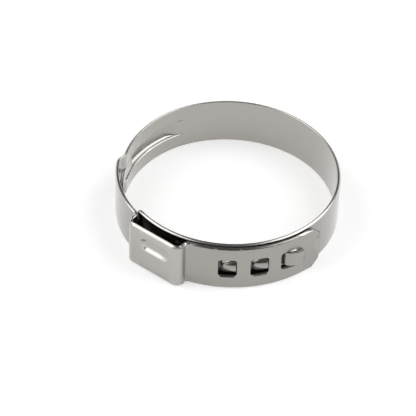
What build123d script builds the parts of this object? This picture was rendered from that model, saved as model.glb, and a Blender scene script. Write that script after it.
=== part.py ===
"""Stepless one-ear hose clamp: a single strip of stainless steel, stamped, bent into a ring and hooked shut.

From one end to the other, the strip is: the outer end with three windows, the ear, the outer lap,
the step down to the channel, one full turn round the bore with three hooks, and the narrow tongue.
The tongue lies inside the outer lap and slides in the channel, so the bore has no step in it.

Millimetres. Z is the bore's axis, the strip's lower edge lies on Z = 0 and the ear points to -Y.
Angles are in degrees from the ear's centre line, positive towards the outer end.
Heights are measured outwards from the bore's face.
"""
from build123d import *
from math import acos, asin, cos, degrees, floor, radians, sin, tan
import os

# Strip, and the ring that it springs into: a little wider across the ear than along it
strip_width = 9.0
strip_thickness = 0.6
bore_radius = 18.58
out_of_round = 0.05
flat_half_angle = 56.0
edge_break = 0.13

# Outer lap, whose last stretch is left straight
hook_side_gap = 0.4
tongue_side_gap = 0.25
end_straight = 3.5
outer_end_angle = 86.0
end_chamfer = 1.7
end_corner_round = 0.8

# Ear, measured inside its legs and from the bore to the outside of its crown
ear_width = 10.3
ear_height = 3.05
ear_corner_radius = 0.8
ear_foot_radius = 0.7
dimple_length = 7.0
dimple_width = 2.6
dimple_depth = 0.55
dimple_draft = 35.0
dimple_edge_round = 0.2

# Windows in the outer lap
window_count = 3
first_window_angle = 36.6
window_pitch_angle = 15.8
window_length = 3.1
window_width = 3.7
window_corner_radius = 0.6
window_rim_round = 0.25

# Step and channel
step_angle = -57.0
channel_end_angle = -115.0
channel_width = 3.0
slit_width = 0.15
rail_set_in = 0.1
step_bend_radius = 1.5
channel_end_bend_radius = 4.0

# Tongue
shoulder_angle = -18.6
shoulder_round = 0.8
tongue_tip_angle = -74.0
tongue_width = 2.8
tongue_tip_round = 0.5
tongue_root_round = 0.3

# Hooks: domes flush with the outer lap in the first windows, and a tab that laps over it in the last
dome_length = 2.7
dome_width = 2.6
dome_edge_round = 0.12
hook_clearance = 0.08
tab_width = 3.0
tab_slot_gap = 0.12
tab_lap = 1.3
tab_bend_radius = 1.0
tab_tip_round = 0.9

# A small knock in the outer lap, near its end
knock_back = 2.35
knock_rise = 2.1
knock_radius = 0.25
knock_depth = 0.06

# Worked out
hook_lap_height = strip_thickness + hook_side_gap
hook_lap_face = hook_lap_height + strip_thickness
tongue_lap_height = strip_thickness + tongue_side_gap
mid_width = strip_width / 2
channel_low = mid_width - channel_width / 2
rail_width = channel_low - slit_width
flat_spread = 1 + tan(radians(flat_half_angle)) - 1 / cos(radians(flat_half_angle))
flat_arc_shift = 2 * out_of_round / flat_spread
side_arc_shift = flat_arc_shift * tan(radians(flat_half_angle))
flat_arc_radius = bore_radius - out_of_round + flat_arc_shift
side_arc_radius = bore_radius + out_of_round - side_arc_shift
straight_angle = outer_end_angle - degrees(end_straight / (bore_radius + hook_lap_face))


def outward(angle):
    """The direction out of the ring, square to the strip, at an angle from the ear."""
    return Vector(sin(radians(angle)), -cos(radians(angle)))


def along(angle):
    """The direction along the strip in which the angle grows."""
    return Vector(cos(radians(angle)), sin(radians(angle)))


def arc_of(angle):
    """The oval's arc that an angle is in: even for the two flatter arcs, odd for the two at its sides."""
    nearest_flat = 2 * round(angle / 180)
    if abs(angle - 90 * nearest_flat) <= flat_half_angle:
        return nearest_flat
    return 2 * floor(angle / 180) + 1


def arc_centre(arc):
    """An arc's centre, which lies across the axis from a flatter arc and beyond it for one at a side."""
    return outward(90 * arc) * (side_arc_shift if arc % 2 else -flat_arc_shift)


def arc_radius(arc):
    """The bore's radius in an arc."""
    return side_arc_radius if arc % 2 else flat_arc_radius


def at(height, angle, arc=None):
    """A point in the plane Z = 0, at a height above the bore's face and an angle from the ear."""
    if arc is None:
        arc = arc_of(angle)
    return arc_centre(arc) + outward(angle) * (arc_radius(arc) + height)


def square_end(height, angle):
    """The work plane of a cut end: its origin on the strip's inner face at Z = 0, X out of the end."""
    return Plane(at(height, angle), x_dir=along(angle), z_dir=outward(angle))


def seat(height, angle):
    """A work plane square to the strip at mid width: X along it, Y up and Z outwards."""
    return Plane(at(height, angle) + Vector(0, 0, mid_width), x_dir=along(angle), z_dir=outward(angle))


def round_part(height, start, end):
    """A stretch bent round the bore, as one arc for each of the oval's arcs that it crosses."""
    low, high = min(start, end), max(start, end)
    halves = range(floor(low / 180) - 1, floor(high / 180) + 2)
    joints = sorted(180 * half + side * flat_half_angle for half in halves for side in (-1, 1))
    stops = [low] + [joint for joint in joints if low < joint < high] + [high]
    stretch = []
    for first, last in zip(stops, stops[1:]):
        arc = arc_of((first + last) / 2)
        stretch.append(CenterArc(arc_centre(arc), arc_radius(arc) + height, first - 90, last - first))
    return stretch


def joggle_span(high, low, bend, angle):
    """The angle that two tangent bends take to lead the strip from one height to a lower one."""
    radius = arc_radius(arc_of(angle))
    upper = radius + high - bend
    lower = radius + low + bend + strip_thickness
    reach = 2 * bend + strip_thickness
    return degrees(acos((upper ** 2 + lower ** 2 - reach ** 2) / (2 * upper * lower)))


def joggle(high, low, high_angle, low_angle, bend, depth):
    """The two bends, at a depth through the strip from its inner face."""
    upper = at(high - bend, high_angle)
    lower = at(low + bend + strip_thickness, low_angle)
    meeting = upper + (lower - upper).normalized() * (bend + depth)
    way = along(high_angle) * (1 if low_angle > high_angle else -1)
    leave = TangentArc(at(high + depth, high_angle), meeting, tangent=way)
    arrive = TangentArc(meeting, at(low + depth, low_angle), tangent=leave % 1)
    return [leave, arrive]


def strip(path, ends, low=0.0, high=strip_width):
    """The solid of a stretch of strip: its line through the thickness, its two ends and its edges."""
    caps = [Line(end.origin, end.origin + end.z_dir * strip_thickness) for end in ends]
    side_view = make_face(path(0.0) + path(strip_thickness) + caps)
    return Pos(0, 0, low) * extrude(side_view, high - low)


def middle_strip(path, ends, width):
    """A stretch of strip that is narrower than the rest, at mid width."""
    return strip(path, ends, mid_width - width / 2, mid_width + width / 2)


def ear_foot_angle(lap_height):
    """Where the bend at the foot of a leg leaves a lap of the given height."""
    bend = ear_foot_radius + strip_thickness
    return degrees(asin((ear_width / 2 + bend) / (flat_arc_radius + lap_height + bend)))


def ear_leg(lap_height, depth):
    """The foot, the leg and half of the crown, on the side of the outer end."""
    bend = ear_foot_radius + strip_thickness
    foot_angle = ear_foot_angle(lap_height)
    foot_y = at(lap_height + bend, foot_angle).Y
    leg_x = ear_width / 2 + depth
    crown_y = at(ear_height - strip_thickness, 0).Y
    corner_y = crown_y + ear_corner_radius
    corner_x = ear_width / 2 - ear_corner_radius
    foot = TangentArc(at(lap_height + depth, foot_angle), (leg_x, foot_y), tangent=-along(foot_angle))
    leg = Line((leg_x, foot_y), (leg_x, corner_y))
    corner = TangentArc((leg_x, corner_y), (corner_x, crown_y - depth), tangent=(0, -1))
    crown = Line((corner_x, crown_y - depth), (0, crown_y - depth))
    return [foot, leg, corner, crown]


def outer_lap_path(depth):
    """Straight end, lap with the windows, ear, and lap over the tongue, up to the step."""
    height = hook_lap_height + depth
    window_lap = round_part(height, ear_foot_angle(hook_lap_height), straight_angle)
    straight = Line(at(height, straight_angle), at(height, straight_angle) + along(straight_angle) * end_straight)
    left_leg = [edge.mirror(Plane.YZ) for edge in ear_leg(tongue_lap_height, depth)]
    tongue_lap = round_part(tongue_lap_height + depth, step_angle, -ear_foot_angle(tongue_lap_height))
    return [straight] + window_lap + ear_leg(hook_lap_height, depth) + left_leg + tongue_lap


def rail_path(depth):
    """A rail beside the channel: down at the step, set in from the bore, and out to it at the end."""
    start = step_angle - joggle_span(tongue_lap_height, -rail_set_in, step_bend_radius, step_angle)
    end = channel_end_angle + joggle_span(0, -rail_set_in, channel_end_bend_radius, channel_end_angle)
    down = joggle(tongue_lap_height, -rail_set_in, step_angle, start, step_bend_radius, depth)
    out = joggle(0, -rail_set_in, channel_end_angle, end, channel_end_bend_radius, depth)
    return down + round_part(depth - rail_set_in, start, end) + out


def channel_path(depth):
    """The raised middle of the strip, over the tongue, and its slope down to the bore."""
    bend = channel_end_bend_radius
    start = channel_end_angle + joggle_span(tongue_lap_height, 0, bend, channel_end_angle)
    slope = joggle(tongue_lap_height, 0, start, channel_end_angle, bend, depth)
    return round_part(tongue_lap_height + depth, step_angle, start) + slope


def turn_path(depth):
    """The full-width turn round the bore, from the channel's end to the shoulder under the ear."""
    return round_part(depth, shoulder_angle - 360, channel_end_angle)


def tongue_path(depth):
    """The tongue, from the shoulder to its tip in the channel."""
    return round_part(depth, tongue_tip_angle, shoulder_angle)


def window_cutter(angle):
    """A rounded opening through the outer lap, from the middle of the gap below it."""
    outline = RectangleRounded(window_length, window_width, window_corner_radius)
    start = hook_lap_height - hook_side_gap / 2
    return seat(start, angle) * extrude(outline, hook_side_gap + 2 * strip_thickness)


def half_dome(length, width):
    """A half egg with its blunt, cut side at X = 0 and its tip at X = -length, round the X axis."""
    outline = EllipticalCenterArc((0, 0), length, width / 2, start_angle=90, arc_size=90)
    base = [Line((-length, 0), (0, 0)), Line((0, 0), (0, width / 2))]
    return revolve(make_face([outline] + base), Axis.X)


def dome_hook(angle):
    """A dome raised from the turn, whose cut side bears on the window's far edge, and its hollow."""
    axis = hook_lap_face - dome_width / 2
    load_side = window_length / 2 - hook_clearance
    place = seat(axis, angle) * Pos(load_side, 0, 0)
    above = seat(strip_thickness / 2, angle) * extrude(Rectangle(3 * dome_length, 2 * dome_width), dome_width)
    dome = half_dome(dome_length, dome_width)
    rim = dome.edges().filter_by(lambda edge: edge.center().X > -0.01 and edge.geom_type == GeomType.CIRCLE)
    hollow = half_dome(dome_length - strip_thickness, dome_width - 2 * strip_thickness)
    return (place * fillet(rim, dome_edge_round)) & above, place * hollow


def tab_angles(window_angle):
    """The tab's root at the window's near edge, the top of its slope, and its tip."""
    lap_radius = arc_radius(arc_of(window_angle)) + hook_lap_face
    root = window_angle - degrees((window_length / 2 - hook_clearance) / lap_radius)
    top = root + joggle_span(hook_lap_face + hook_clearance, 0, tab_bend_radius, window_angle)
    tip = window_angle + degrees((window_length / 2 + tab_lap) / lap_radius)
    return root, top, tip


def tab_hook(window_angle):
    """A tab led out through the window and lapped over its far edge, and the slot that it is cut from."""
    root, top, tip = tab_angles(window_angle)
    height = hook_lap_face + hook_clearance

    def path(depth):
        slope = joggle(height, 0, top, root, tab_bend_radius, depth)
        return round_part(height + depth, top, tip) + slope

    tab = middle_strip(path, [square_end(height, tip), square_end(0, root)], tab_width)
    tip_corners = tab.edges().filter_by(Axis((0, 0, 0), outward(tip))).sort_by_distance(at(height, tip))
    corners = [edge for edge in tip_corners if abs(edge.center().Z - mid_width) > 0.4 * tab_width][:2]
    lap_radius = arc_radius(arc_of(window_angle))
    developed = sum(edge.length for edge in path(0.0))
    slot_end = root + degrees((developed + tab_slot_gap) / lap_radius)
    slot_width = tab_width + 2 * tab_slot_gap

    def slot_path(depth):
        return round_part(2 * depth - strip_thickness / 2, root, slot_end)

    half = strip_thickness / 2
    side_view = slot_path(0.0) + slot_path(strip_thickness)
    caps = [Line(at(-half, angle), at(3 * half, angle)) for angle in (root, slot_end)]
    slot = Pos(0, 0, mid_width - slot_width / 2) * extrude(make_face(side_view + caps), slot_width)
    return fillet(corners, tab_tip_round), slot


def ear_dimple():
    """The pressed dimple of the crown, as the metal pushed inwards and the recess that it leaves."""
    lean = radians(dimple_draft)
    wall = strip_thickness * (1 - sin(lean)) / cos(lean)
    crown = seat(ear_height, 0)
    recess = crown * extrude(SlotOverall(dimple_length, dimple_width), -dimple_depth, taper=dimple_draft)
    swell_outline = SlotOverall(dimple_length + 2 * wall, dimple_width + 2 * wall)
    swell = crown * Pos(0, 0, -strip_thickness) * extrude(swell_outline, -dimple_depth, taper=dimple_draft)
    return swell, recess


def corners_through(part, end, half_width):
    """The two corners cut square through the strip at an end, a half width either side of mid width."""
    found = []
    for z in (mid_width - half_width, mid_width + half_width):
        target = end.origin + end.z_dir * (strip_thickness / 2) + Vector(0, 0, z)
        found.append(part.edges().sort_by_distance(target)[0])
    return found


def rim(part, place, length, width):
    """The edges round an opening or a dimple, within a length and width of a place on a face."""
    found = []
    for edge in part.edges():
        local = place.to_local_coords(edge.center())
        if abs(local.X) < length / 2 + 0.05 and abs(local.Y) < width / 2 + 0.05 and abs(local.Z) < 0.1:
            found.append(edge)
    return found


def knock(end):
    """A shallow round mark, back from an end and up from mid width."""
    ball = (knock_radius ** 2 + knock_depth ** 2) / (2 * knock_depth)
    centre = end.origin - end.x_dir * knock_back + end.z_dir * (strip_thickness - knock_depth + ball)
    return Pos(centre + Vector(0, 0, mid_width + knock_rise)) * Sphere(ball)


straight_start = square_end(hook_lap_height, straight_angle)
outer_end = Plane(straight_start * Pos(end_straight, 0, 0))
step = square_end(tongue_lap_height, step_angle)
channel_end = square_end(0, channel_end_angle)
shoulder = square_end(0, shoulder_angle)
tongue_tip = square_end(0, tongue_tip_angle)

# The strip, folded
clamp_band = strip(outer_lap_path, [outer_end, step])
clamp_band += strip(rail_path, [step, channel_end], 0, rail_width)
clamp_band += strip(rail_path, [step, channel_end], strip_width - rail_width, strip_width)
clamp_band += middle_strip(channel_path, [step, channel_end], channel_width)
clamp_band += strip(turn_path, [channel_end, shoulder])
clamp_band += middle_strip(tongue_path, [shoulder, tongue_tip], tongue_width)

# Its ends
clamp_band = chamfer(corners_through(clamp_band, outer_end, mid_width), end_chamfer)
clamp_band = fillet(corners_through(clamp_band, outer_end, mid_width - end_chamfer), end_corner_round)
clamp_band = fillet(corners_through(clamp_band, shoulder, mid_width), shoulder_round)
clamp_band = fillet(corners_through(clamp_band, shoulder, tongue_width / 2), tongue_root_round)
clamp_band = fillet(corners_through(clamp_band, tongue_tip, tongue_width / 2), tongue_tip_round)

# Its long edges
edges = clamp_band.edges()
lower_edges = edges.filter_by_position(Axis.Z, -0.01, 0.01)
upper_edges = edges.filter_by_position(Axis.Z, strip_width - 0.01, strip_width + 0.01)
clamp_band = chamfer(lower_edges + upper_edges, edge_break)

# Windows, hooks, dimple and knock
window_angles = [first_window_angle + i * window_pitch_angle for i in range(window_count)]
for angle in window_angles:
    clamp_band -= window_cutter(angle)
    window_rim = rim(clamp_band, seat(hook_lap_face, angle), window_length, window_width)
    clamp_band = fillet(window_rim, window_rim_round)
for angle in window_angles[:-1]:
    dome, hollow = dome_hook(angle)
    clamp_band = clamp_band + dome - hollow
tab, slot = tab_hook(window_angles[-1])
clamp_band = clamp_band - slot + tab
swell, recess = ear_dimple()
clamp_band = clamp_band + swell - recess
dimple_rim = rim(clamp_band, seat(ear_height, 0), dimple_length, dimple_width)
clamp_band = fillet(dimple_rim, dimple_edge_round)
clamp_band -= knock(outer_end)

os.makedirs("parts", exist_ok=True)
export_step(clamp_band, "parts/clamp_band.step")
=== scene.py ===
"""Ear hose clamp: finish and stage.

Rolls the strip's long edges over, presses the ear's dimple, gives the strip its satin stainless finish, and sets it
on a pale floor in soft light.
"""

from math import atan2, cos, radians, sin

import bmesh
import bpy
from mathutils import Matrix, Vector


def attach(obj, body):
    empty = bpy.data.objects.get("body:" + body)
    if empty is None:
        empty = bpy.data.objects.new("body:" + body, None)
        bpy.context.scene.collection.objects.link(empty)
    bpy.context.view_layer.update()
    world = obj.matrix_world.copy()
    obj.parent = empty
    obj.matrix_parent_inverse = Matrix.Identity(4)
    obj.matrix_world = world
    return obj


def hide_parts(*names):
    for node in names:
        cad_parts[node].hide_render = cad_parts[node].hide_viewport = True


bl_info = {
    "name": "Ear hose clamp",
    "version": (1, 0, 0),
    "blender": (4, 5, 0),
    "location": "View3D > Sidebar > Clamp",
    "description": "Finishes an ear hose clamp and sets it on a studio floor",
    "category": "Object",
}

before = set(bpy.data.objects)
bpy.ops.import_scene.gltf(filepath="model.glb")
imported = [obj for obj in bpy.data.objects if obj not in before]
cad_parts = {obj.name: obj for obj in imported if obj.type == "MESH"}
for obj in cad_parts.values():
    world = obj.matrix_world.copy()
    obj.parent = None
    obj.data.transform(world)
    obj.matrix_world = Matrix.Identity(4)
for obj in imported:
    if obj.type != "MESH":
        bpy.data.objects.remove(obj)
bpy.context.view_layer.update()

# In metres: for merging and cutting, for telling levels apart, and as room round a limit.
MERGE = 1e-7
LEVEL = 1e-6
ROOM = 1e-5

# The upright part of a normal: a rim's flat has more than the first, and a side has less than the second.
FLAT = 0.99
UPRIGHT = 0.9

# How much of a side's way out points away from the axis on an outer side, or towards it on an inner one.
OUTER = 0.3

# The rings of a long edge, from the middle of the rim to the lowest cut. On the outer side each has its place in from
# the face, in metres, and its share of the roll down. On the inner side it has its place in and its drop, in metres.
OUTER_ROLL = {"inset": (0.00044, 0.0), "rim": (0.00033, 0.11), "break": (0.00019, 0.31), "cut": (0.00007, 0.62),
              "low": (0.0, 1.0)}
INNER_ROLL = {"inset": (0.00015, 0.0), "rim": (0.00007, 0.00002)}

# The crown that the dimple is pressed in, in metres: how deep its outer faces reach, how much of their normal
# points outwards, and how deep and between which heights the solid's own dimple lies.
CROWN_SKIN = 0.0006
CROWN_FACING = 0.2
SOLID_DIMPLE_DEPTH = 0.00056
SOLID_DIMPLE_HEIGHTS = (0.0025, 0.0065)


class StripSettings(bpy.types.PropertyGroup):
    """The strip's shape and finish."""

    colour: bpy.props.FloatVectorProperty(
        name="Steel colour", description="Colour that the strip reflects face on",
        subtype="COLOR", size=3, min=0, max=1, default=(0.39, 0.37, 0.346))
    roughness: bpy.props.FloatProperty(
        name="Roughness", description="Roughness of the rolled faces", min=0, max=1, default=0.3)
    outer_shade: bpy.props.FloatProperty(
        name="Outer shade", description="How light the outer side is beside the inner one", min=0, max=1,
        default=0.78)
    outer_limit: bpy.props.FloatProperty(
        name="Outer limit", description="Distance behind the axis where a face's plane still counts as outer",
        unit="LENGTH", default=0.006)
    # Painted light: the ear gets a paler colour that stands in for the brighter reflection on its faces.
    ear_painted_colour: bpy.props.FloatVectorProperty(
        name="Ear colour", description="Colour that is painted on the ear, paler for its brighter reflection",
        subtype="COLOR", size=3, min=0, max=1, default=(0.40, 0.38, 0.356))
    ear_painted_span: bpy.props.FloatVectorProperty(
        name="Ear colour span", description="Distances in front of the axis where that colour starts, and is full",
        size=2, unit="LENGTH", default=(0.0200, 0.0209))
    skin: bpy.props.FloatProperty(
        name="Bright skin", description="Strength of the smooth skin left by rolling", min=0, max=1, default=1.0)
    skin_roughness: bpy.props.FloatProperty(
        name="Skin roughness", description="Roughness of the bright skin", min=0, max=1, default=0.12)
    strip_width: bpy.props.FloatProperty(
        name="Strip width", description="Width of the strip", unit="LENGTH", default=0.009)
    strip_thickness: bpy.props.FloatProperty(
        name="Strip thickness", description="Thickness of the strip", unit="LENGTH", default=0.0006)
    ring_levels: bpy.props.FloatVectorProperty(
        name="Ring levels", description="Heights off the middle where the strip's faces are cut, to shade evenly",
        size=3, unit="LENGTH", default=(0.00172, 0.00182, 0.0024))
    edge_break: bpy.props.FloatProperty(
        name="Edge break", description="Width of the broken edges that the rounding takes in", unit="LENGTH",
        default=0.00013)
    rim_flat: bpy.props.FloatProperty(
        name="Rim flat", description="Width of the flat left along the middle of the rims", unit="LENGTH",
        default=0.0001)
    roll_down: bpy.props.FloatProperty(
        name="Roll down", description="How far down the outer face the long edges roll over", unit="LENGTH",
        default=0.0003)
    roll_cut: bpy.props.FloatProperty(
        name="Roll cut", description="Share of the roll down where the faces get one more cut", min=0, max=1,
        default=0.6)
    ear_roll: bpy.props.FloatProperty(
        name="Ear roll", description="How many times as far they roll down the ear's faces", min=1, default=1.4)
    ear_roll_span: bpy.props.FloatVectorProperty(
        name="Ear roll span", description="Distances in front of the axis where that starts, and is full",
        size=2, unit="LENGTH", default=(0.0192, 0.0206))
    crown_width: bpy.props.FloatProperty(
        name="Crown width", description="Width of the flat of the ear's crown", unit="LENGTH", default=0.0087)
    dimple_depth: bpy.props.FloatProperty(
        name="Dimple depth", description="Depth of the ear's dimple", unit="LENGTH", default=0.00055)
    dent_place: bpy.props.FloatVectorProperty(
        name="Dimple place", description="Centre of the dimple, along the ear and up the strip", size=2,
        unit="LENGTH", default=(0.00055, 0.0057))
    dent_size: bpy.props.FloatVectorProperty(
        name="Dimple size", description="Length and width of the dimple", size=2,
        unit="LENGTH", default=(0.0067, 0.0029))
    dent_walls: bpy.props.FloatVectorProperty(
        name="Dimple walls", description="Width of its lower wall and of its upper one", size=2,
        unit="LENGTH", default=(0.00105, 0.0008))
    dent_run_out: bpy.props.FloatProperty(
        name="Dimple run-out", description="Share of its depth that the dimple loses towards its far end", min=0,
        max=1, default=0.6)
    dent_step: bpy.props.FloatProperty(
        name="Dimple step", description="Spacing of the cuts that the dimple is shaped on", unit="LENGTH", min=5e-5,
        default=0.00011)
    # Painted shade: the ear's faces that point down, below the dimple's upper rim and along the ear's bottom edge, are
    # painted darker.
    painted_shade_facing: bpy.props.FloatVectorProperty(
        name="Rim facing", description="How far down a face points where the dimple's dark line starts, and is full",
        size=2, default=(0.08, 0.5))
    painted_rim_shade: bpy.props.FloatProperty(
        name="Rim shade", description="How light the strip is below the dimple's upper rim", min=0, max=1,
        default=0.3)
    channel_width: bpy.props.FloatProperty(
        name="Channel width", description="Width of the raised channel and of the tab", unit="LENGTH", default=0.003)
    channel_end: bpy.props.FloatProperty(
        name="Channel end", description="Turn from the ear to the channel's end", subtype="ANGLE",
        default=radians(-115))
    rail_set_in: bpy.props.FloatProperty(
        name="Rail set-in", description="How far the rails beside the channel stand into the bore", unit="LENGTH",
        default=0.0001)
    rail_joggle: bpy.props.FloatProperty(
        name="Rail joggle", description="Turn over which the plain rails come out to the bore", subtype="ANGLE",
        default=radians(4.12))
    rail_run: bpy.props.FloatProperty(
        name="Rail run", description="Turn over which they are eased out instead", subtype="ANGLE",
        default=radians(30))
    rail_reach: bpy.props.FloatProperty(
        name="Rail reach", description="Furthest that the rails stand from the axis", unit="LENGTH", default=0.0193)
    # Partly painted highlight: faces that point up (rolled edges, the dimple's lower wall, hook tops) get a brighter
    # colour, beside the edges' brighter metal.
    highlight_facing: bpy.props.FloatVectorProperty(
        name="Edge facing", description="How far up a face points where the edges' brightness starts, and is full",
        size=2, default=(0.15, 0.6))
    edge_roughness: bpy.props.FloatProperty(
        name="Edge roughness", description="Roughness of the upper edges", min=0, max=1, default=0.24)
    edge_and_highlight_colour: bpy.props.FloatVectorProperty(
        name="Edge colour", description="Colour that the brighter upper edges reflect face on",
        subtype="COLOR", size=3, min=0, max=1, default=(0.62, 0.60, 0.57))
    dull_turn: bpy.props.FloatProperty(
        name="Dull turn", description="Turn from the ear to the middle of the lap's edge that isn't brighter",
        subtype="ANGLE", default=radians(47))
    dull_reach: bpy.props.FloatProperty(
        name="Dull reach", description="Distance from the axis past which, on that side, the edge isn't brighter",
        unit="LENGTH", default=0.01781)
    # Painted shade: the strip's outer side under the lap is painted dark, and a painted shadow lies just past the lap's
    # end.
    painted_lap_shade: bpy.props.FloatProperty(
        name="Shade under the lap", description="How light the strip is where the lap covers it", min=0, max=1,
        default=0.2)
    lap_radius: bpy.props.FloatProperty(
        name="Lap radius", description="Distance from the axis to the gap under the lap", unit="LENGTH",
        default=0.01935)
    lap_turn: bpy.props.FloatProperty(
        name="Lap turn", description="Turn from the ear to the middle of what the lap covers", subtype="ANGLE",
        default=radians(14.5))
    lap_reach: bpy.props.FloatProperty(
        name="Lap reach", description="Distance from the axis past which, on that side, the lap covers the strip",
        unit="LENGTH", default=0.0062)
    # Where the painted shadow beside the lap's end lies.
    shadow_corners: bpy.props.FloatVectorProperty(
        name="Shadow corners", description="Heights where the shadow beside the lap's end turns its corners", size=2,
        unit="LENGTH", default=(0.0010, 0.0057))
    shadow_end: bpy.props.FloatVectorProperty(
        name="Shadow end", description="Where the shadow beside the lap's end starts to fade, and is gone", size=2,
        unit="LENGTH", default=(0.0001, 0.0008))
    tab_turn: bpy.props.FloatProperty(
        name="Tab turn", description="Turn from the ear to the tab in the last window", subtype="ANGLE",
        default=radians(69.5))
    tab_reach: bpy.props.FloatProperty(
        name="Tab reach", description="How far the tab reaches to either side of that turn", unit="LENGTH",
        default=0.0021)
    window_turn: bpy.props.FloatProperty(
        name="Window turn", description="Turn from the ear to the last window", subtype="ANGLE",
        default=radians(68.2))
    tab_spread: bpy.props.FloatVectorProperty(
        name="Tab spread", description="How far the tab is spread towards the ear, and its two sides upwards", size=3,
        unit="LENGTH", default=(0.00042, 0.00033, 0.00055))
    tab_span: bpy.props.FloatVectorProperty(
        name="Tab span", description="Where the spread starts and ends, along the strip from that window's middle",
        size=2, unit="LENGTH", default=(-0.0012, 0.0014))
    tab_fade: bpy.props.FloatVectorProperty(
        name="Tab fade", description="Lengths over which the spread grows at its start, and fades at its end",
        size=2, unit="LENGTH", default=(0.00025, 0.0004))
    tab_foot: bpy.props.FloatProperty(
        name="Tab foot", description="Distance from the axis where the spread part of the tab starts", unit="LENGTH",
        default=0.01862)
    grain_pitch: bpy.props.FloatProperty(
        name="Grain pitch", description="Spacing of the fine rolling lines along the strip",
        unit="LENGTH", min=1e-5, default=0.00012)
    grain_length: bpy.props.FloatProperty(
        name="Grain length", description="Length of the rolling lines", unit="LENGTH", min=1e-3, default=1 / 30)
    grain_height: bpy.props.FloatProperty(
        name="Grain height", description="Height of the rolling lines", unit="LENGTH", min=0, default=0.000001)
    cloud_size: bpy.props.FloatProperty(
        name="Cloud size", description="Size of the faint clouds in the finish", unit="LENGTH", min=1e-4, default=0.003)
    cloud_contrast: bpy.props.FloatProperty(
        name="Cloud contrast", description="How much lighter and darker the clouds are", min=0, max=1, default=0.05)
    cloud_roughness: bpy.props.FloatProperty(
        name="Cloud roughness", description="How much rougher and smoother the clouds are", min=0, max=1,
        default=0.03)
    smooth_angle: bpy.props.FloatProperty(
        name="Smooth angle", description="Bends sharper than this stay crisp", subtype="ANGLE", default=radians(50))


class StageSettings(bpy.types.PropertyGroup):
    """The floor, lamps and camera."""

    floor_size: bpy.props.FloatProperty(
        name="Floor size", description="Side of the square floor", unit="LENGTH", default=3.0)
    floor_colour: bpy.props.FloatVectorProperty(
        name="Floor colour", description="Colour of the floor", subtype="COLOR", size=3, min=0, max=1,
        default=(0.93, 0.93, 0.93))
    floor_lift: bpy.props.FloatProperty(
        name="Floor lift", description="Brightness added to the floor as it is seen", min=0, default=0.48)
    wall_light: bpy.props.FloatProperty(
        name="Wall light", description="Strength of the room's light near the horizon", min=0, default=1.0)
    dusk_light: bpy.props.FloatProperty(
        name="Upper wall light", description="Strength of the light from the upper walls", min=0, default=0.08)
    ceiling_light: bpy.props.FloatProperty(
        name="Ceiling light", description="Strength of the room's light overhead", min=0, default=0.12)
    light_heights: bpy.props.FloatVectorProperty(
        name="Light heights", description="Heights where the wall ends, the upper wall starts and ends, and the "
        "ceiling starts, as shares of the way up", size=4, min=0, max=1, default=(0.18, 0.42, 0.80, 0.94))
    lamp_distance: bpy.props.FloatProperty(
        name="Lamp distance", description="From the clamp to each lamp", unit="LENGTH", default=0.6)
    lamp_target: bpy.props.FloatProperty(
        name="Lamp target", description="Height above the floor that the lamps face", unit="LENGTH", default=0.004)
    left_turn: bpy.props.FloatProperty(
        name="Left lamp turn", description="Turn from the camera to the left lamp", subtype="ANGLE",
        default=radians(-82))
    left_height: bpy.props.FloatProperty(
        name="Left lamp height", description="Angle of the left lamp above the floor", subtype="ANGLE",
        default=radians(40))
    left_size: bpy.props.FloatProperty(
        name="Left lamp size", description="Side of the left lamp", unit="LENGTH", default=0.6)
    left_watts: bpy.props.FloatProperty(
        name="Left lamp power", description="Power of the soft lamp on the left", subtype="POWER", default=1.85)
    right_turn: bpy.props.FloatProperty(
        name="Right lamp turn", description="Turn from the camera to the right lamp", subtype="ANGLE",
        default=radians(92))
    right_height: bpy.props.FloatProperty(
        name="Right lamp height", description="Angle of the right lamp above the floor", subtype="ANGLE",
        default=radians(47))
    right_size: bpy.props.FloatProperty(
        name="Right lamp size", description="Side of the right lamp", unit="LENGTH", default=0.55)
    right_watts: bpy.props.FloatProperty(
        name="Right lamp power", description="Power of the soft lamp on the right", subtype="POWER", default=1.85)
    camera_target: bpy.props.FloatVectorProperty(
        name="Camera target", description="Point that the camera looks at", subtype="TRANSLATION", size=3,
        default=(0.000019, -0.00618, 0.0045))
    camera_turn: bpy.props.FloatProperty(
        name="Camera turn", description="Turn of the camera round the clamp, from square on to the ear",
        subtype="ANGLE", default=radians(37.0))
    camera_height: bpy.props.FloatProperty(
        name="Camera height", description="Angle of the camera above the floor", subtype="ANGLE",
        default=radians(42.332))
    camera_roll: bpy.props.FloatProperty(
        name="Camera roll", description="Tilt of the camera about its line of sight", subtype="ANGLE",
        default=radians(2.0))
    camera_distance: bpy.props.FloatProperty(
        name="Camera distance", description="From the target to the camera", unit="LENGTH", default=0.45)
    lens: bpy.props.FloatProperty(
        name="Lens", description="Focal length on a 36 mm wide sensor", subtype="DISTANCE_CAMERA", default=224.33)


def limited(share):
    """A share, held between 0 and 1."""
    return min(1, max(0, share))


def eased(share):
    """A share that starts and ends gently."""
    return share ** 2 * (3 - 2 * share)


def direction(turn, height=0.0):
    """A direction from the clamp: turned from square on to the ear, and raised above the floor."""
    return Vector((sin(turn) * cos(height), -cos(turn) * cos(height), sin(height)))


def onward(turn):
    """The direction along the strip at a turn from the ear."""
    return Vector((cos(turn), sin(turn), 0))


def shaded(colour, share=1.0):
    """A shader's colour, at a share of its lightness."""
    return (*(part * share for part in colour), 1)


def feed(tree, value, socket):
    """Links a socket to an input, or sets the input to a plain value."""
    if isinstance(value, bpy.types.NodeSocket):
        tree.links.new(value, socket)
    else:
        socket.default_value = value


def node(tree, kind, label, **values):
    """Adds a shader node with its label, settings and inputs."""
    made = tree.nodes.new(kind)
    made.label = label
    made.name = label
    for key, value in values.items():
        if hasattr(made, key):
            setattr(made, key, value)
        else:
            feed(tree, value, made.inputs[key.replace("_", " ").title()])
    return made


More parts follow.
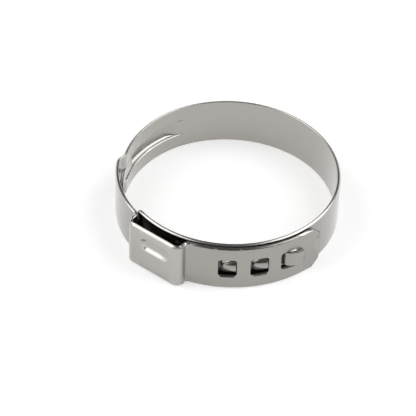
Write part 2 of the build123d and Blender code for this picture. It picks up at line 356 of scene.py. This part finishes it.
def maths(tree, label, operation, *values, **settings):
    """Gives the result of a math node on plain values and sockets."""
    made = node(tree, "ShaderNodeMath", label, operation=operation, **settings)
    for value, socket in zip(values, made.inputs):
        feed(tree, value, socket)
    return made.outputs["Value"]


def dot(tree, label, vector, other):
    """Gives how far one vector reaches along another."""
    made = node(tree, "ShaderNodeVectorMath", label, operation="DOT_PRODUCT")
    feed(tree, vector, made.inputs[0])
    feed(tree, other, made.inputs[1])
    return made.outputs["Value"]


def near(tree, label, value, reach):
    """Gives 1 where a value lies within a reach of nought."""
    size = maths(tree, label + ", how far", "ABSOLUTE", value)
    return maths(tree, label, "LESS_THAN", size, reach)


def span(tree, label, value, limits=(0, 1), results=(0, 1), smooth=False):
    """Gives a value between two results, as another one passes between two limits."""
    made = node(tree, "ShaderNodeMapRange", label, interpolation_type="SMOOTHSTEP" if smooth else "LINEAR",
                value=value, from_min=limits[0], from_max=limits[1], to_min=results[0], to_max=results[1])
    return made.outputs["Result"]


def blend(tree, label, share, colour, other):
    """Gives a colour that turns into another one by a share."""
    made = node(tree, "ShaderNodeMixRGB", label, fac=share, color1=colour, color2=other)
    return made.outputs["Color"]


def steel_colour(tree, settings, place, facing, clouds, outside):
    """The strip's colour: clouded, darker outside, painted paler on the ear, and painted shade below the dimple's rim.
    """
    base = settings.colour
    contrast = settings.cloud_contrast
    colour = blend(tree, "Clouded steel", clouds, shaded(base, 1 - contrast), shaded(base, 1 + contrast))
    colour = blend(tree, "Outer side a shade darker", outside, colour, shaded(base, settings.outer_shade))
    # Painted light: the ear is painted paler in place of the brighter reflection on its faces.
    ear = span(tree, "On the ear", place["Y"], [-limit for limit in settings.ear_painted_span])
    colour = blend(tree, "Ear painted paler", ear, colour, shaded(settings.ear_painted_colour))
    # Painted shade on the ear's faces that point down, below the dimple's rim and along its bottom edge.
    down = span(tree, "Facing down", facing["Z"], [-limit for limit in settings.painted_shade_facing], smooth=True)
    rim = maths(tree, "Facing down on the ear", "MULTIPLY", down, ear)
    return blend(tree, "Painted shade below the dimple's rim", rim, colour, shaded(base, settings.painted_rim_shade))


def painted_lap_shade_area(tree, settings, place, level):
    """Gives 1 where shade is painted: under the lap from its fold, and as a shadow a little past its end, corners cut.
    """
    towards = dot(tree, "Towards the lap", level, direction(settings.lap_turn))
    fold = maths(tree, "Within the lap, by the fold", "GREATER_THAN", towards, settings.lap_reach)
    low_corner, high_corner = settings.shadow_corners
    upper = maths(tree, "Past the end's upper corner", "SUBTRACT", place["Z"], high_corner)
    lower = maths(tree, "Past the end's lower corner", "SUBTRACT", low_corner, place["Z"])
    corner = maths(tree, "Past either corner", "MAXIMUM", upper, lower)
    cut = maths(tree, "Cut corners", "MAXIMUM", corner, 0.0)
    past = maths(tree, "Past the lap's end", "ADD", place["Y"], cut)
    fade, gone = settings.shadow_end
    ended = span(tree, "Within the lap, by its end", past, (gone, fade), smooth=True)
    right = maths(tree, "On the end's side", "GREATER_THAN", place["X"], 0.0)
    ending = maths(tree, "By the end", "MULTIPLY", right, ended)
    left = maths(tree, "On the fold's side", "SUBTRACT", 1.0, right)
    return maths(tree, "Within the lap", "MULTIPLY_ADD", left, fold, ending)


def bare_face(tree, settings, place, level):
    """Gives 1 on the strip's faces, and 0 on its rolled edges and on the last tab."""
    along = dot(tree, "Along the last window", level, onward(settings.tab_turn))
    height = maths(tree, "From the strip's middle", "SUBTRACT", place["Z"], settings.strip_width / 2)
    beside = near(tree, "Beside the tab", along, settings.tab_reach)
    abreast = near(tree, "Level with the tab", height, settings.channel_width / 2 + 2 * ROOM)
    tab = maths(tree, "On the last tab", "MULTIPLY", beside, abreast)
    broad = near(tree, "Off the rolled edge", height, settings.strip_width / 2 - settings.roll_down)
    return maths(tree, "Off the edge and off the tab", "SUBTRACT", broad, tab, use_clamp=True)


def edges_and_painted_highlights(tree, settings, level, below, edge):
    """Gives 1 on upward faces, for brighter edge metal and a painted highlight, and 0 along the middle of the lap's
    edge, which isn't brighter.
    """
    towards = dot(tree, "Towards the middle of the lap", level, direction(settings.dull_turn))
    middle = maths(tree, "Middle of the lap", "GREATER_THAN", towards, settings.dull_reach)
    above = maths(tree, "On the lap", "SUBTRACT", 1.0, below)
    dull = maths(tree, "Duller edge of the lap", "MULTIPLY", middle, above)
    other = maths(tree, "Not the lap's duller edge", "SUBTRACT", 1.0, dull)
    return maths(tree, "Edges but the lap's", "MULTIPLY", edge, other)


def satin_stainless(settings):
    """Rolled stainless strip: faint clouds, fine lines along it, brighter edges with painted highlight, painted shade
    under the lap.
    """
    material = bpy.data.materials.new("satin_stainless")
    material.use_nodes = True
    tree = material.node_tree
    shader = tree.nodes["Principled BSDF"]
    shader.inputs["Metallic"].default_value = 1.0
    shader.inputs["Coat Weight"].default_value = settings.skin
    shader.inputs["Coat Roughness"].default_value = settings.skin_roughness

    strip = node(tree, "ShaderNodeTexCoord", "Place on the strip").outputs
    facing = node(tree, "ShaderNodeSeparateXYZ", "Which way it faces", vector=strip["Normal"]).outputs
    place = node(tree, "ShaderNodeSeparateXYZ", "Place", vector=strip["Object"]).outputs
    flat = node(tree, "ShaderNodeCombineXYZ", "Place round the axis", x=place["X"], y=place["Y"])
    level = flat.outputs["Vector"]
    radius = node(tree, "ShaderNodeVectorMath", "From the axis", operation="LENGTH", vector=level).outputs["Value"]
    below = maths(tree, "Below the lap", "LESS_THAN", radius, settings.lap_radius)
    outwards = dot(tree, "Outwards or inwards", strip["Normal"], strip["Object"])
    outside = maths(tree, "Outer side", "GREATER_THAN", outwards, -settings.outer_limit)
    # Faces that point up: brighter edge metal and painted highlight, and the edges' roughness.
    edge = span(tree, "Upper edge", facing["Z"], settings.highlight_facing, smooth=True)
    clouds = node(tree, "ShaderNodeTexNoise", "Faint clouds", scale=1 / settings.cloud_size, detail=3.0,
                  vector=strip["Object"]).outputs["Fac"]

    colour = steel_colour(tree, settings, place, facing, clouds, outside)
    # Painted shade under the lap, and a painted shadow just past its end.
    hidden = maths(tree, "Outer side below the lap", "MULTIPLY", below, outside)
    covered = maths(tree, "Covered by the lap", "MULTIPLY", hidden, painted_lap_shade_area(tree, settings, place, level))
    dark = maths(tree, "Dark part", "MULTIPLY", covered, bare_face(tree, settings, place, level))
    colour = blend(tree, "Painted shade under the lap", dark, colour, shaded(settings.colour, settings.painted_lap_shade))
    # Brighter rolled edges: partly their metal, partly a painted highlight on every face that points up.
    bright = edges_and_painted_highlights(tree, settings, level, below, edge)
    colour = blend(tree, "Brighter edges and painted highlights", bright, colour, shaded(settings.edge_and_highlight_colour))
    feed(tree, colour, shader.inputs["Base Color"])

    least, most = settings.roughness - settings.cloud_roughness, settings.roughness + settings.cloud_roughness
    satin = span(tree, "Satin of the faces", clouds, results=(least, most))
    rough = span(tree, "Satin of faces and edges", edge, results=(satin, settings.edge_roughness))
    feed(tree, rough, shader.inputs["Roughness"])

    stretch = (1 / settings.grain_length, 1 / settings.grain_length, 1 / settings.grain_pitch)
    lines = node(tree, "ShaderNodeMapping", "Along the strip", scale=stretch, vector=strip["Object"])
    grain = node(tree, "ShaderNodeTexNoise", "Rolling lines", scale=1.0, detail=3.0, roughness=0.6,
                 vector=lines.outputs["Vector"])
    relief = node(tree, "ShaderNodeBump", "Relief of the lines", distance=settings.grain_height)
    feed(tree, grain.outputs["Fac"], relief.inputs["Height"])
    feed(tree, relief.outputs["Normal"], shader.inputs["Normal"])
    return material


def only(thing):
    """Deselects everything but one object, and makes it the active one."""
    bpy.ops.object.select_all(action="DESELECT")
    thing.select_set(True)
    bpy.context.view_layer.objects.active = thing


def way_out(vertex):
    """The level direction out of the metal at a vertex."""
    way = Vector((0, 0, 0))
    for face in vertex.link_faces:
        if abs(face.normal.z) < UPRIGHT:
            way += Vector((face.normal.x, face.normal.y, 0)) * face.calc_area()
    return way.normalized()


def cut_level(shell, height):
    """Cuts every face that crosses a height."""
    everything = shell.verts[:] + shell.edges[:] + shell.faces[:]
    bmesh.ops.bisect_plane(shell, geom=everything, dist=MERGE, plane_co=(0, 0, height), plane_no=(0, 0, 1))


def round_long_edges(shell, settings):
    """Rolls the strip's long edges over towards its outer side, further down on the ear."""
    width = settings.strip_width
    edge = settings.edge_break
    low = settings.roll_down
    cut = settings.roll_cut * low
    inset = settings.strip_thickness / 2 - settings.rim_flat / 2 - edge
    ear_start, ear_end = settings.ear_roll_span

    def depth_of(place):
        return min(place.z, width - place.z)

    for depth in (low, cut):
        cut_level(shell, depth)
        cut_level(shell, width - depth)
    rims = [face for face in shell.faces
            if abs(face.normal.z) > FLAT and depth_of(face.calc_center_median()) < LEVEL]
    bmesh.ops.inset_region(shell, faces=rims, thickness=inset, use_even_offset=True, use_boundary=True)
    shell.normal_update()

    on_side = [vertex for vertex in shell.verts if any(abs(face.normal.z) < UPRIGHT for face in vertex.link_faces)]
    ways = {vertex: way_out(vertex) for vertex in on_side if depth_of(vertex.co) < LEVEL}
    moves = []
    for vertex in shell.verts:
        depth = depth_of(vertex.co)
        if depth > low + LEVEL:
            continue
        across = 0
        if depth > LEVEL:
            ring = "low" if depth > low - LEVEL else "cut" if depth > cut - LEVEL else "break"
            way = way_out(vertex)
        elif vertex in ways:
            ring = "rim"
            way = ways[vertex]
            across = edge
        else:
            ring = "inset"
            beside = [link.other_vert(vertex) for link in vertex.link_edges if link.other_vert(vertex) in ways]
            if not beside:
                continue
            way = ways[min(beside, key=lambda other: (other.co - vertex.co).length)]
            across = edge + inset
        side = way.dot(Vector((vertex.co.x, vertex.co.y, 0)).normalized())
        down = Vector((0, 0, 1 if vertex.co.z < width / 2 else -1))
        if side > OUTER:
            shifted, share = OUTER_ROLL[ring]
            on_ear = limited((-ear_start - vertex.co.y) / (ear_end - ear_start))
            drop = share * low * (1 + (settings.ear_roll - 1) * on_ear)
            moves.append((vertex, way * (across - shifted) + down * (drop - depth)))
        elif side < -OUTER and ring in INNER_ROLL:
            shifted, drop = INNER_ROLL[ring]
            moves.append((vertex, way * (across - shifted) + down * drop))
    for vertex, move in moves:
        vertex.co += move
    for vertex in shell.verts:
        vertex.co.z = min(width, max(0, vertex.co.z))


def smooth_rails(shell, settings):
    """Eases the rails beside the channel out to the bore over a long run, in place of their short joggle."""
    for vertex in shell.verts:
        beside = abs(vertex.co.z - settings.strip_width / 2) > settings.channel_width / 2 + ROOM
        turn = atan2(vertex.co.x, -vertex.co.y) - settings.channel_end
        if not beside or not 0 < turn < settings.rail_run or vertex.co.xy.length > settings.rail_reach:
            continue
        joggle = min(1, turn / settings.rail_joggle)
        now = 2 * joggle ** 2 if joggle < 0.5 else 1 - 2 * (1 - joggle) ** 2
        out = Vector((vertex.co.x, vertex.co.y, 0)).normalized()
        vertex.co += out * settings.rail_set_in * (now - eased(turn / settings.rail_run))


def press_dimple(shell, settings):
    """Presses the ear's dimple again as a long dent in the crown's outer face."""
    crown = min(vertex.co.y for vertex in shell.verts)
    half_crown = settings.crown_width / 2 + ROOM
    low = settings.roll_down * settings.ear_roll - ROOM
    high = settings.strip_width - low

    def lies(face, depth, bottom, top):
        return all(vertex.co.y < crown + depth and bottom < vertex.co.z < top for vertex in face.verts)

    def replaced(face):
        outer = lies(face, CROWN_SKIN, low, high) and face.normal.y < -CROWN_FACING
        return outer or lies(face, SOLID_DIMPLE_DEPTH, *SOLID_DIMPLE_HEIGHTS)

    old = [face for face in shell.faces
           if replaced(face) and all(abs(vertex.co.x) < half_crown for vertex in face.verts)]
    bmesh.ops.delete(shell, geom=old, context="FACES")
    mouth = [edge for edge in shell.edges if edge.is_boundary]
    patch = bmesh.ops.contextual_create(shell, geom=mouth)["faces"]

    half_length = settings.dent_size[0] / 2
    half_height = settings.dent_size[1] / 2
    centre = Vector((settings.dent_place[0], crown, settings.dent_place[1]))
    for way, half in ((Vector((1, 0, 0)), half_length), (Vector((0, 0, 1)), half_height)):
        count = round(2 * half / settings.dent_step)
        for step in range(count + 1):
            place = centre + way * half * (2 * step / count - 1)
            verts = {vertex for face in patch for vertex in face.verts}
            edges = {edge for face in patch for edge in face.edges}
            bmesh.ops.bisect_plane(shell, geom=[*verts, *edges, *patch], dist=MERGE, plane_co=place, plane_no=way)
            patch = [face for face in shell.faces if lies(face, MERGE, low, high)]

    lower_wall, upper_wall = settings.dent_walls
    for vertex in {vertex for face in patch for vertex in face.verts}:
        aside = vertex.co.x - centre.x
        above = vertex.co.z - centre.z
        past = max(0, abs(aside) - (half_length - half_height))
        reach = (past ** 2 + above ** 2) ** 0.5
        upper = limited(above / reach + 0.5) if reach > LEVEL else 0.5
        wall = lower_wall + (upper_wall - lower_wall) * upper
        share = limited((half_height - reach) / wall)
        run_out = settings.dent_run_out * limited(aside / half_length) ** 2
        vertex.co.y += settings.dimple_depth * eased(share) * (1 - run_out)


def spread_tab(shell, settings):
    """Spreads the last hook's tab over more of its window: towards the ear and up."""
    away = onward(settings.window_turn)
    start, end = settings.tab_span
    start_fade, end_fade = settings.tab_fade
    towards_ear, upper_side, lower_side = settings.tab_spread
    for vertex in shell.verts:
        aside = vertex.co.dot(away)
        above = vertex.co.z - settings.strip_width / 2
        on_side = abs(abs(above) - settings.channel_width / 2) < ROOM
        in_window = vertex.co.x > 0 and start < aside < end and vertex.co.xy.length > settings.tab_foot
        if not on_side or not in_window:
            continue
        share = min(1, (aside - start) / start_fade) * min(1, (end - aside) / end_fade)
        up = upper_side if above > 0 else lower_side
        vertex.co += Vector((0, 0, up * share)) - away * towards_ear * share


class CLAMP_OT_strip(bpy.types.Operator):
    """Finish the folded strip: ease its rails, roll its edges, press its dimple and give it satin stainless"""

    bl_idname = "clamp.strip"
    bl_label = "Strip"

    def execute(self, context):
        settings = context.scene.clamp_strip
        only(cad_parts["clamp_band"])
        bpy.ops.object.duplicate()
        band = context.view_layer.objects.active
        band.name = "finished_band"
        band.data.name = "finished_band"
        band.parent = None
        for key in [key for key in band.keys() if key.startswith("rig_")]:
            del band[key]
        only(band)

        shell = bmesh.new()
        shell.from_mesh(band.data)
        bmesh.ops.remove_doubles(shell, verts=shell.verts[:], dist=MERGE)
        for level in settings.ring_levels:
            cut_level(shell, settings.strip_width / 2 - level)
            cut_level(shell, settings.strip_width / 2 + level)
        smooth_rails(shell, settings)
        spread_tab(shell, settings)
        round_long_edges(shell, settings)
        press_dimple(shell, settings)
        bmesh.ops.recalc_face_normals(shell, faces=shell.faces[:])
        if any(not edge.is_manifold for edge in shell.edges):
            raise RuntimeError("the finished strip is not closed")
        shell.to_mesh(band.data)
        shell.free()

        bpy.ops.object.shade_smooth_by_angle(angle=settings.smooth_angle)
        normals = band.modifiers.new("Rounded edges", "WEIGHTED_NORMAL")
        normals.mode = "FACE_AREA"
        normals.weight = 100
        normals.keep_sharp = True
        bpy.ops.object.modifier_apply(modifier=normals.name)
        band.data.materials.clear()
        band.data.materials.append(satin_stainless(settings))
        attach(band, "root")
        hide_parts("clamp_band")
        return {"FINISHED"}


def aim(thing, place, target, roll=0.0):
    """Puts a lamp or camera at a place, facing a target, tilted by a roll."""
    back = (place - target).normalized()
    right = Vector((0, 0, 1)).cross(back)
    right = right.normalized() if right.length > LEVEL else Vector((1, 0, 0))
    up = back.cross(right)
    tilted_right = right * cos(roll) + up * sin(roll)
    tilted_up = up * cos(roll) - right * sin(roll)
    turn = Matrix((tilted_right, tilted_up, back)).transposed()
    thing.matrix_world = Matrix.Translation(place) @ turn.to_4x4()


def soft_lamp(name, place, target, size, watts):
    """A square soft lamp that faces a target."""
    lamp = bpy.data.lights.new(name, "AREA")
    lamp.shape = "SQUARE"
    lamp.size = size
    lamp.energy = watts
    thing = bpy.data.objects.new(name, lamp)
    bpy.context.scene.collection.objects.link(thing)
    aim(thing, place, target)


def floor_material(settings):
    """A pale matt floor, lifted to white as it is seen or reflected."""
    material = bpy.data.materials.new("pale_floor")
    material.use_nodes = True
    tree = material.node_tree
    shader = tree.nodes["Principled BSDF"]
    shader.inputs["Base Color"].default_value = shaded(settings.floor_colour)
    shader.inputs["Roughness"].default_value = 1.0
    shader.inputs["Specular IOR Level"].default_value = 0.0
    shader.inputs["Emission Color"].default_value = (1, 1, 1, 1)
    rays = node(tree, "ShaderNodeLightPath", "Kind of ray").outputs
    direct = maths(tree, "Seen or reflected", "MAXIMUM", rays["Is Camera Ray"], rays["Is Glossy Ray"])
    clear = maths(tree, "Or seen through glass", "MAXIMUM", direct, rays["Is Transmission Ray"])
    lift = maths(tree, "Lift", "MULTIPLY", clear, settings.floor_lift)
    feed(tree, lift, shader.inputs["Emission Strength"])
    return material


def room_light(settings):
    """The light of a pale room: bright walls that darken towards the ceiling."""
    world = bpy.data.worlds.new("room")
    world.use_nodes = True
    tree = world.node_tree
    place = node(tree, "ShaderNodeTexCoord", "Direction")
    parts = node(tree, "ShaderNodeSeparateXYZ", "How high", vector=place.outputs["Generated"])
    bands = node(tree, "ShaderNodeValToRGB", "Walls, dusk and ceiling", fac=parts.outputs["Z"])
    lights = (settings.wall_light, settings.dusk_light, settings.dusk_light, settings.ceiling_light)
    ramp = bands.color_ramp
    while len(ramp.elements) < len(lights):
        ramp.elements.new(0.5)
    for element, height, light in zip(ramp.elements, settings.light_heights, lights):
        element.position = height
        element.color = (light, light, light, 1)
    feed(tree, bands.outputs["Color"], tree.nodes["Background"].inputs["Color"])
    return world


class CLAMP_OT_stage(bpy.types.Operator):
    """Lay the floor, hang the lamps, light the room and place the camera"""

    bl_idname = "clamp.stage"
    bl_label = "Stage"

    def execute(self, context):
        settings = context.scene.clamp_stage
        bpy.ops.object.select_all(action="DESELECT")
        bpy.ops.mesh.primitive_plane_add(size=settings.floor_size, location=(0, 0, 0))
        floor = context.view_layer.objects.active
        floor.name = "floor"
        floor.data.materials.append(floor_material(settings))

        turn = settings.camera_turn
        lit = Vector((0, 0, settings.lamp_target))
        left = direction(turn + settings.left_turn, settings.left_height) * settings.lamp_distance
        soft_lamp("left_lamp", left, lit, settings.left_size, settings.left_watts)
        right = direction(turn + settings.right_turn, settings.right_height) * settings.lamp_distance
        soft_lamp("right_lamp", right, lit, settings.right_size, settings.right_watts)
        context.scene.world = room_light(settings)
        context.scene.view_settings.view_transform = "Standard"

        camera = bpy.data.cameras.new("camera")
        camera.sensor_width = 36
        camera.lens = settings.lens
        camera.clip_start = 0.01
        camera.clip_end = 10
        viewer = bpy.data.objects.new("camera", camera)
        context.scene.collection.objects.link(viewer)
        target = Vector(settings.camera_target)
        place = target + direction(turn, settings.camera_height) * settings.camera_distance
        aim(viewer, place, target, settings.camera_roll)
        context.scene.camera = viewer
        return {"FINISHED"}


class CLAMP_PT_sidebar(bpy.types.Panel):
    """The clamp's pieces and stage"""

    bl_label = "Ear hose clamp"
    bl_idname = "CLAMP_PT_sidebar"
    bl_space_type = "VIEW_3D"
    bl_region_type = "UI"
    bl_category = "Clamp"

    def draw(self, context):
        groups = ((context.scene.clamp_strip, CLAMP_OT_strip), (context.scene.clamp_stage, CLAMP_OT_stage))
        for settings, operator in groups:
            box = self.layout.box()
            for name in settings.__annotations__:
                box.prop(settings, name)
            box.operator(operator.bl_idname)


CLASSES = (StripSettings, StageSettings, CLAMP_OT_strip, CLAMP_OT_stage, CLAMP_PT_sidebar)


def register():
    for kind in CLASSES:
        bpy.utils.register_class(kind)
    bpy.types.Scene.clamp_strip = bpy.props.PointerProperty(type=StripSettings)
    bpy.types.Scene.clamp_stage = bpy.props.PointerProperty(type=StageSettings)


def unregister():
    del bpy.types.Scene.clamp_stage
    del bpy.types.Scene.clamp_strip
    for kind in reversed(CLASSES):
        bpy.utils.unregister_class(kind)


def main():
    register()
    bpy.ops.clamp.strip()
    bpy.ops.clamp.stage()


if __name__ == "__main__":
    main()
